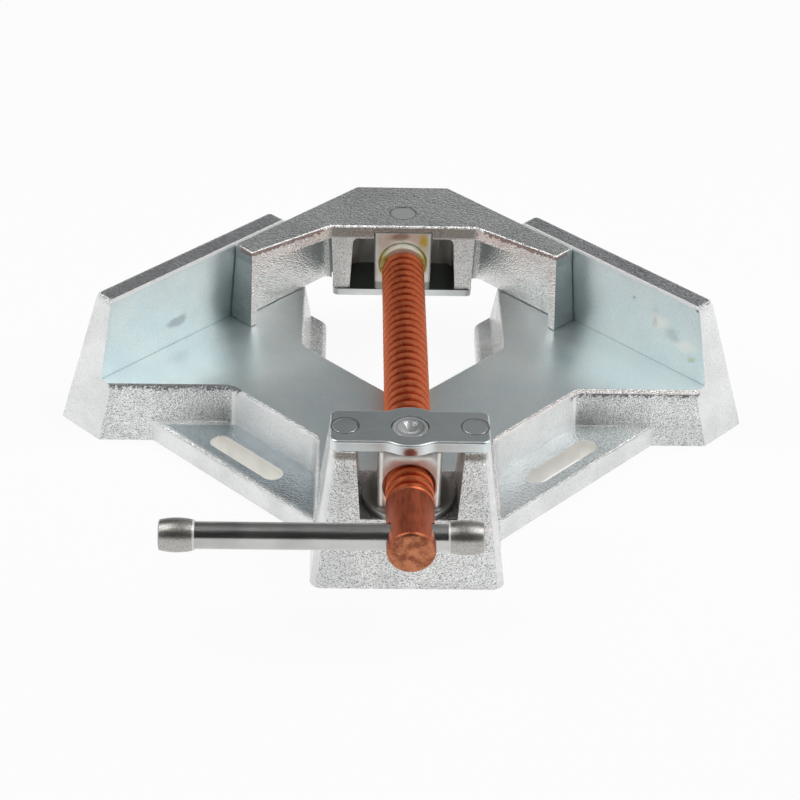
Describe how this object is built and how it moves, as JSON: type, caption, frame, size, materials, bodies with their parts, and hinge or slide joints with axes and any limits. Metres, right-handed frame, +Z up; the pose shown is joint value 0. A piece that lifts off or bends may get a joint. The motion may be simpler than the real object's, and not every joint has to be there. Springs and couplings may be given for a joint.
{
  "type": "corner clamp",
  "caption": "Cast corner clamp: fixed jaw walls at a right angle, and a swivelling corner jaw driven along the diagonal by a screw with a sliding T-handle.",
  "frame": {"origin": "the nut's swivel axis where it meets the bench plane under the yoke", "axes": "+X across the clamp to the right of someone at the handle, +Y from the handle along the screw towards the corner, +Z up from the bench"},
  "size_m": [0.291, 0.2446, 0.0636],
  "materials": {
    "cast_zinc": "zinc plated casting, machined faces",
    "plate_zinc": "zinc plated",
    "nut_zinc": "zinc plated",
    "copper_plated_steel": "copper plated",
    "bright_bar": "bright",
    "satin_knob": "satin",
    "yellow_metal": "greased"
  },
  "bodies": {
    "base": {"base_casting": "cast_zinc", "bridge_plate": "plate_zinc", "bridge_rivets": "plate_zinc"},
    "nut": {"screw_nut": "nut_zinc"},
    "block": {"thrust_block": "nut_zinc", "thrust_ring": "yellow_metal"},
    "screw": {"screw": "copper_plated_steel", "retaining_ring": "plate_zinc"},
    "handle": {"handle_bar": "bright_bar", "handle_knob_left": "satin_knob", "handle_knob_right": "satin_knob"},
    "jaw": {"moving_jaw": "cast_zinc", "keeper_plate": "plate_zinc", "keeper_rivets": "plate_zinc"}
  },
  "joints": [
    {"name": "nut_swivel", "type": "hinge", "parent": "base", "child": "nut", "pos_m": [0, 0, 0.0433], "axis": [0, 0, 1], "range_deg": [-0.1, 0.1]},
    {"name": "spindle_feed", "type": "slide", "parent": "nut", "child": "block", "axis": [0, -1, 0], "range_m": [-0.00005, 0.12705]},
    {"name": "screw_turn", "type": "hinge", "parent": "block", "child": "screw", "pos_m": [0, 0.1677, 0.0433], "axis": [0, -1, 0], "range_deg": [0, 9144]},
    {"name": "handle_slide", "type": "slide", "parent": "screw", "child": "handle", "axis": [1, 0, 0], "range_m": [-0.0044, 0.0704]},
    {"name": "jaw_swivel", "type": "hinge", "parent": "block", "child": "jaw", "pos_m": [0, 0.1677, 0.0433], "axis": [0, 0, 1], "range_deg": [-0.1, 0.1]}
  ],
  "couplings": [
    {"joint": "spindle_feed", "follows": "screw_turn", "m_per_rad": 0.00079577}
  ]
}
